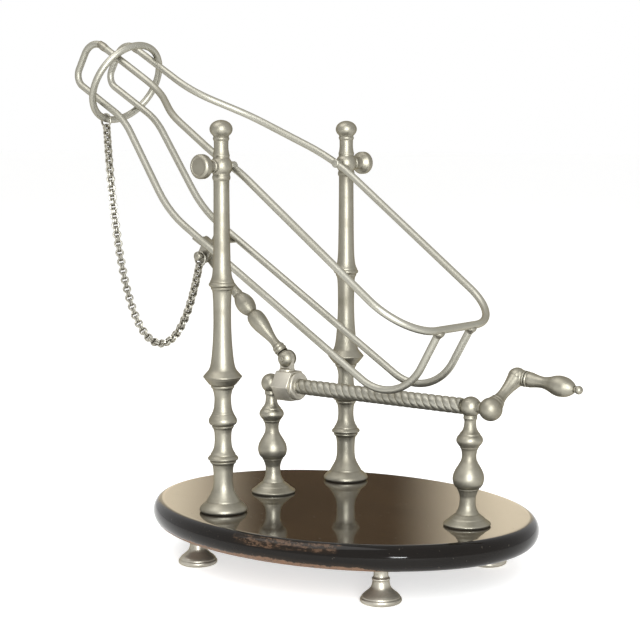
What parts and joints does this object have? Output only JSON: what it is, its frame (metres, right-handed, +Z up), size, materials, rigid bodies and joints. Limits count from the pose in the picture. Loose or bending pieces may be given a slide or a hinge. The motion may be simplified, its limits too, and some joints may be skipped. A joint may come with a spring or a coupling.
{
  "type": "mechanical wine pourer",
  "caption": "Tilting wire cradle on turned metal posts over an oval board; a crank turns a lead screw whose nut and link arm tip the cradle to pour.",
  "frame": {"origin": "on the table, under the middle of the oval board", "axes": "+X along the lead screw towards the crank, +Y towards the far post, +Z up"},
  "size_m": [0.3118, 0.168, 0.2761],
  "materials": {
    "turned_metal": "satin polish",
    "screw_metal": "satin polish",
    "wire_metal": "satin polish",
    "brazed_metal": "dull",
    "chain_metal": "satin, dark in the gaps",
    "hidden_steel": "plain",
    "ebonised_board": "black gloss lacquer, rubbed brown along the edge"
  },
  "bodies": {
    "base": {"base_board": "ebonised_board", "foot_near_left": "turned_metal", "foot_near_right": "turned_metal", "foot_far_left": "turned_metal", "foot_far_right": "turned_metal", "fixing_screws": "hidden_steel", "post_near": "turned_metal", "post_far": "turned_metal", "baluster_left": "turned_metal", "baluster_right": "turned_metal"},
    "crank": {"lead_screw": "screw_metal", "crank_arm": "turned_metal", "crank_cross_pin": "hidden_steel", "grip_spindle": "turned_metal"},
    "grip": {"crank_grip": "turned_metal"},
    "nut": {"travelling_nut": "turned_metal", "link_pin_low": "brazed_metal"},
    "link": {"link_arm": "turned_metal", "link_pin_high": "brazed_metal"},
    "cradle": {"upper_bow": "wire_metal", "lower_wire_near": "wire_metal", "lower_wire_far": "wire_metal", "lug_near": "brazed_metal", "lug_far": "brazed_metal", "lug_rivets": "brazed_metal", "chain_fall": "chain_metal", "chain_rise": "chain_metal", "chain_ring_low": "chain_metal"},
    "ring": {"slip_ring": "wire_metal", "chain_ring_high": "chain_metal"},
    "chain_sag": {"chain_bottom": "chain_metal"},
    "thumb_near": {"thumb_screw_near": "turned_metal"},
    "thumb_far": {"thumb_screw_far": "turned_metal"}
  },
  "joints": [
    {"name": "crank_turn", "type": "hinge", "parent": "base", "child": "crank", "pos_m": [0.09165, 0, 0.0914], "axis": [-1, 0, 0], "range_deg": [0, 1980]},
    {"name": "grip_spin", "type": "hinge", "parent": "crank", "child": "grip", "pos_m": [0.09465, 0.01917, 0.10533], "axis": [0.9956, 0, -0.0941], "continuous": true},
    {"name": "nut_travel", "type": "slide", "parent": "base", "child": "nut", "axis": [1, 0, 0], "range_m": [0, 0.06876]},
    {"name": "link_swing", "type": "hinge", "parent": "nut", "child": "link", "pos_m": [-0.0364, 0, 0.1057], "axis": [0, -1, 0], "range_deg": [0, 25.27]},
    {"name": "cradle_tilt", "type": "hinge", "parent": "base", "child": "cradle", "pos_m": [-0.0365, 0, 0.2082], "axis": [0, -1, 0], "range_deg": [0, 44.27], "deforming": ["chain_fall", "chain_rise"]},
    {"name": "chain_hang", "type": "slide", "parent": "cradle", "child": "chain_sag", "axis": [-0.7302, 0, 0.6832], "range_m": [0, 0.03616]},
    {"name": "ring_slip", "type": "slide", "parent": "cradle", "child": "ring", "axis": [0.866, 0, -0.5], "range_m": [-0.003, 0.003]},
    {"name": "thumb_near_turn", "type": "hinge", "parent": "base", "child": "thumb_near", "pos_m": [-0.0365, -0.0514, 0.2082], "axis": [0, -1, 0], "range_deg": [0, 720]},
    {"name": "thumb_far_turn", "type": "hinge", "parent": "base", "child": "thumb_far", "pos_m": [-0.0365, 0.0514, 0.2082], "axis": [0, 1, 0], "range_deg": [0, 720]}
  ],
  "couplings": [
    {"joint": "nut_travel", "follows": "crank_turn", "m_per_rad": 0.0019894},
    {"joint": "link_swing", "follows": "crank_turn", "ratio": 0.012753},
    {"joint": "cradle_tilt", "follows": "crank_turn", "ratio": 0.022348},
    {"joint": "chain_hang", "follows": "crank_turn", "m_per_rad": 0.0010462}
  ]
}
